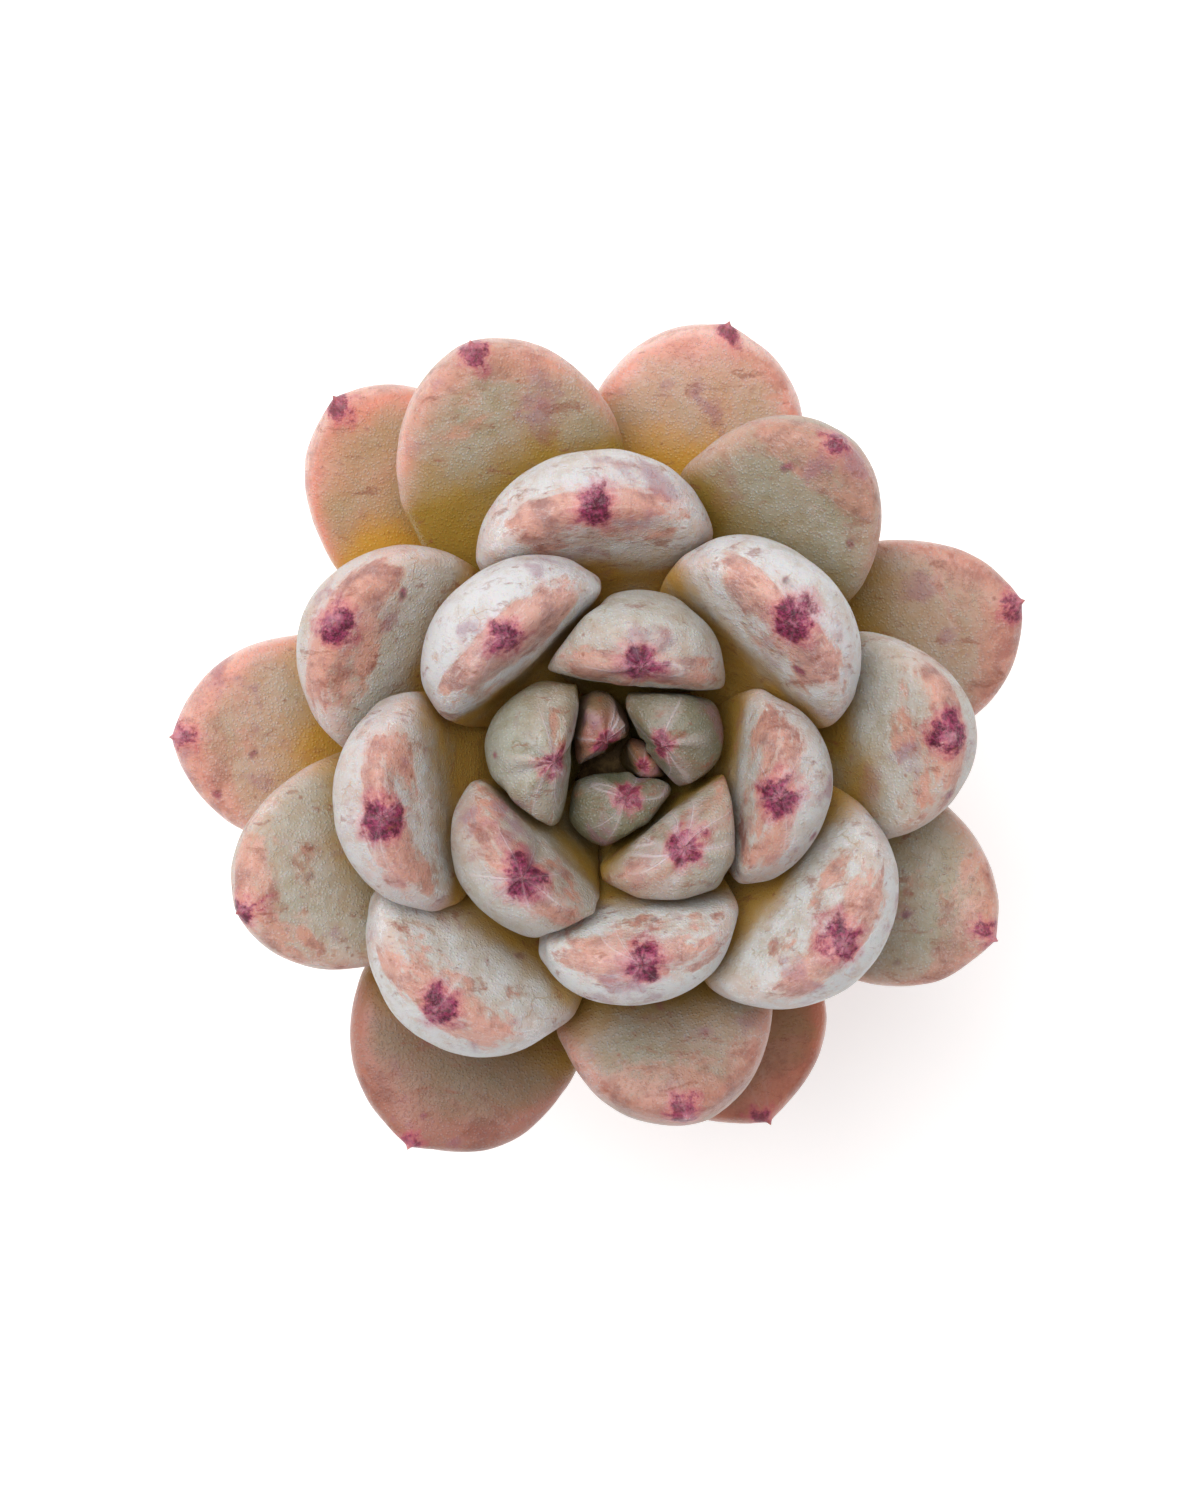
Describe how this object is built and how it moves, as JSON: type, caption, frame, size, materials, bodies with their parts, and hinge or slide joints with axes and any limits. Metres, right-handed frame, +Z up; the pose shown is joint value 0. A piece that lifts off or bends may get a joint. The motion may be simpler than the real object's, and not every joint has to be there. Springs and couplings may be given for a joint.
{
  "type": "potted succulent",
  "caption": "Rosette succulent with thick, powdery, pink-tipped leaves on one spiral, growing in a small plain clay pot.",
  "frame": {"origin": "middle of the pot's foot, on the surface that the pot stands on", "axes": "+Z up along the pot's axis; the rosette leans 6 degrees towards +X and -Y"},
  "size_m": [0.0688, 0.0682, 0.084],
  "materials": {
    "leaf_skin": "matt, powdery bloom",
    "stem_bark": "rough",
    "fired_clay": "matt, unglazed",
    "potting_mix": "rough, grainy"
  },
  "bodies": {
    "root": {"leaf_01": "leaf_skin", "leaf_02": "leaf_skin", "leaf_03": "leaf_skin", "leaf_04": "leaf_skin", "leaf_05": "leaf_skin", "leaf_06": "leaf_skin", "leaf_07": "leaf_skin", "leaf_08": "leaf_skin", "leaf_09": "leaf_skin", "leaf_10": "leaf_skin", "leaf_11": "leaf_skin", "leaf_12": "leaf_skin", "leaf_13": "leaf_skin", "leaf_14": "leaf_skin", "leaf_15": "leaf_skin", "leaf_16": "leaf_skin", "leaf_17": "leaf_skin", "leaf_18": "leaf_skin", "leaf_19": "leaf_skin", "leaf_20": "leaf_skin", "leaf_21": "leaf_skin", "leaf_22": "leaf_skin", "leaf_23": "leaf_skin", "leaf_24": "leaf_skin", "leaf_25": "leaf_skin", "leaf_26": "leaf_skin", "leaf_27": "leaf_skin", "leaf_28": "leaf_skin", "leaf_29": "leaf_skin", "stem": "stem_bark", "pot": "fired_clay", "potting_mix": "potting_mix"}
  },
  "joints": []
}
